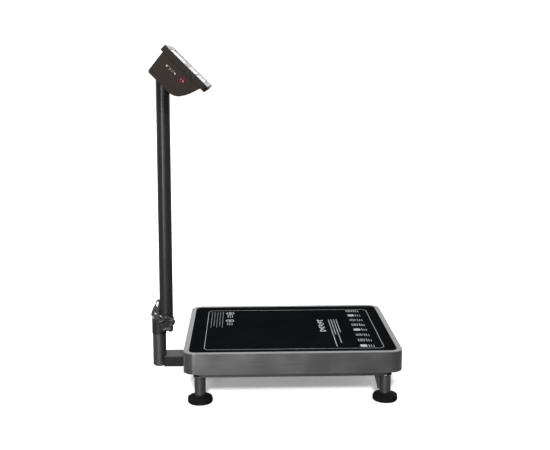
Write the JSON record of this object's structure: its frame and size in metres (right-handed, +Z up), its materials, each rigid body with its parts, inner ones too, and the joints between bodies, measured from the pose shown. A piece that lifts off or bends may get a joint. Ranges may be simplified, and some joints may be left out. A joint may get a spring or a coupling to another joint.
{
  "type": "label printing scale",
  "caption": "Platform weighing scale on levelling feet, with a folding column that carries a tilted console with display, keys and label printer.",
  "frame": {"origin": "on the floor, below the middle of the whole scale's bounding box", "axes": "+X from the column towards the far end of the platform, +Y across the platform, away from the console's data ports, +Z up"},
  "size_m": [0.59, 0.4, 0.8121],
  "materials": {
    "grey_coat": "fine hammered dark grey powder coat, semi gloss",
    "dark_coat": "dark grey paint on welded steel, satin",
    "cover_steel": "dark brushed stamped steel, clear coated",
    "panel_black": "black gloss film with pale printed marks",
    "black_cast": "black coated casting, satin",
    "black_plastic": "black, fine grain",
    "rubber": "black, matt",
    "zinc": "bright zinc plating",
    "aluminium": "machined",
    "console_grey": "dark warm grey with a clear gloss",
    "console_face": "light grey",
    "display_glass": "clear over a dark display",
    "key_grey": "light grey",
    "switch_red": "translucent red",
    "board_green": "green solder resist",
    "paper": "white thermal label stock"
  },
  "bodies": {
    "base": {"platform_cover": "cover_steel", "platform_panel": "panel_black", "base_frame": "dark_coat", "load_cell": "aluminium", "top_frame": "dark_coat", "column_arm": "grey_coat", "lower_post": "grey_coat", "post_cap": "black_plastic", "hinge_base": "black_cast", "lever_pin": "zinc", "lever_spring": "zinc", "pivot_bolt": "zinc", "pivot_washer": "zinc"},
    "knob": {"fold_knob": "black_plastic"},
    "lever": {"lock_lever": "black_cast"},
    "column": {"hinge_knuckle": "black_cast", "upper_column": "grey_coat", "head_spigot": "zinc", "spigot_nut": "zinc"},
    "console": {"rear_housing": "console_grey", "front_bezel": "console_grey", "display_window": "display_glass", "display_module": "board_green", "key_carrier": "black_plastic", "main_board": "board_green", "battery": "black_plastic", "serial_connector": "black_plastic", "side_port_1": "black_plastic", "side_port_2": "black_plastic", "power_inlet": "black_plastic", "switch_frame": "black_plastic", "printer_chassis": "zinc", "print_head": "aluminium", "feed_motor": "aluminium", "door_pin": "zinc", "swivel_bracket": "zinc"},
    "rocker": {"power_rocker": "switch_red"},
    "roll": {"label_roll": "paper", "roll_spool": "black_plastic"},
    "door": {"printer_door": "console_face"},
    "platen": {"platen_roller": "rubber"},
    "foot_1": {"foot_stud_1": "zinc", "foot_pad_1": "rubber"},
    "foot_2": {"foot_stud_2": "zinc", "foot_pad_2": "rubber"},
    "foot_3": {"foot_stud_3": "zinc", "foot_pad_3": "rubber"},
    "foot_4": {"foot_stud_4": "zinc", "foot_pad_4": "rubber"},
    "key_01": {"key_01": "key_grey"},
    "key_02": {"key_02": "key_grey"},
    "key_03": {"key_03": "key_grey"},
    "key_04": {"key_04": "key_grey"},
    "key_05": {"key_05": "key_grey"},
    "key_06": {"key_06": "key_grey"},
    "key_07": {"key_07": "key_grey"},
    "key_08": {"key_08": "key_grey"},
    "key_09": {"key_09": "key_grey"},
    "key_10": {"key_10": "key_grey"}
  },
  "joints": [
    {"name": "column_fold", "type": "hinge", "parent": "base", "child": "column", "pos_m": [-0.255, 0, 0.144], "axis": [0, 1, 0], "range_deg": [0, 90]},
    {"name": "console_swivel", "type": "hinge", "parent": "column", "child": "console", "pos_m": [-0.2575, 0, 0.752], "axis": [0, 0, 1], "range_deg": [-90, 90]},
    {"name": "lever_tilt", "type": "hinge", "parent": "base", "child": "lever", "pos_m": [-0.283, 0, 0.165], "axis": [0, -1, 0], "range_deg": [0, 15], "stiffness_Nm_per_rad": 0.4, "springref_deg": -11.46, "deforming": ["lever_spring"]},
    {"name": "knob_turn", "type": "hinge", "parent": "base", "child": "knob", "pos_m": [-0.255, 0, 0.144], "axis": [0, 1, 0], "continuous": true},
    {"name": "rocker_tilt", "type": "hinge", "parent": "console", "child": "rocker", "pos_m": [-0.20294, -0.119, 0.73313], "axis": [0.7071, 0, 0.7071], "range_deg": [0, 16]},
    {"name": "door_hinge", "type": "hinge", "parent": "console", "child": "door", "pos_m": [-0.22754, 0.073, 0.79536], "axis": [0, -1, 0], "range_deg": [0, 95]},
    {"name": "roll_turn", "type": "hinge", "parent": "console", "child": "roll", "pos_m": [-0.23666, 0.073, 0.75088], "axis": [0, 1, 0], "continuous": true},
    {"name": "platen_turn", "type": "hinge", "parent": "door", "child": "platen", "pos_m": [-0.1755, 0.073, 0.73002], "axis": [0, 1, 0], "continuous": true},
    {"name": "foot_1_turn", "type": "hinge", "parent": "base", "child": "foot_1", "pos_m": [-0.1685, -0.165, 0], "axis": [0, 0, 1], "continuous": true},
    {"name": "foot_2_turn", "type": "hinge", "parent": "base", "child": "foot_2", "pos_m": [0.2585, -0.165, 0], "axis": [0, 0, 1], "continuous": true},
    {"name": "foot_3_turn", "type": "hinge", "parent": "base", "child": "foot_3", "pos_m": [-0.1685, 0.165, 0], "axis": [0, 0, 1], "continuous": true},
    {"name": "foot_4_turn", "type": "hinge", "parent": "base", "child": "foot_4", "pos_m": [0.2585, 0.165, 0], "axis": [0, 0, 1], "continuous": true},
    {"name": "key_01_press", "type": "slide", "parent": "console", "child": "key_01", "axis": [-0.7071, 0, -0.7071], "range_m": [0, 0.0008], "stiffness_N_per_m": 200, "springref_m": -0.002},
    {"name": "key_02_press", "type": "slide", "parent": "console", "child": "key_02", "axis": [-0.7071, 0, -0.7071], "range_m": [0, 0.0008], "stiffness_N_per_m": 200, "springref_m": -0.002},
    {"name": "key_03_press", "type": "slide", "parent": "console", "child": "key_03", "axis": [-0.7071, 0, -0.7071], "range_m": [0, 0.0008], "stiffness_N_per_m": 200, "springref_m": -0.002},
    {"name": "key_04_press", "type": "slide", "parent": "console", "child": "key_04", "axis": [-0.7071, 0, -0.7071], "range_m": [0, 0.0008], "stiffness_N_per_m": 200, "springref_m": -0.002},
    {"name": "key_05_press", "type": "slide", "parent": "console", "child": "key_05", "axis": [-0.7071, 0, -0.7071], "range_m": [0, 0.0008], "stiffness_N_per_m": 200, "springref_m": -0.002},
    {"name": "key_06_press", "type": "slide", "parent": "console", "child": "key_06", "axis": [-0.7071, 0, -0.7071], "range_m": [0, 0.0008], "stiffness_N_per_m": 200, "springref_m": -0.002},
    {"name": "key_07_press", "type": "slide", "parent": "console", "child": "key_07", "axis": [-0.7071, 0, -0.7071], "range_m": [0, 0.0008], "stiffness_N_per_m": 200, "springref_m": -0.002},
    {"name": "key_08_press", "type": "slide", "parent": "console", "child": "key_08", "axis": [-0.7071, 0, -0.7071], "range_m": [0, 0.0008], "stiffness_N_per_m": 200, "springref_m": -0.002},
    {"name": "key_09_press", "type": "slide", "parent": "console", "child": "key_09", "axis": [-0.7071, 0, -0.7071], "range_m": [0, 0.0008], "stiffness_N_per_m": 200, "springref_m": -0.002},
    {"name": "key_10_press", "type": "slide", "parent": "console", "child": "key_10", "axis": [-0.7071, 0, -0.7071], "range_m": [0, 0.0008], "stiffness_N_per_m": 200, "springref_m": -0.002}
  ],
  "couplings": [
    {"joint": "platen_turn", "follows": "roll_turn", "ratio": -3.5385}
  ]
}
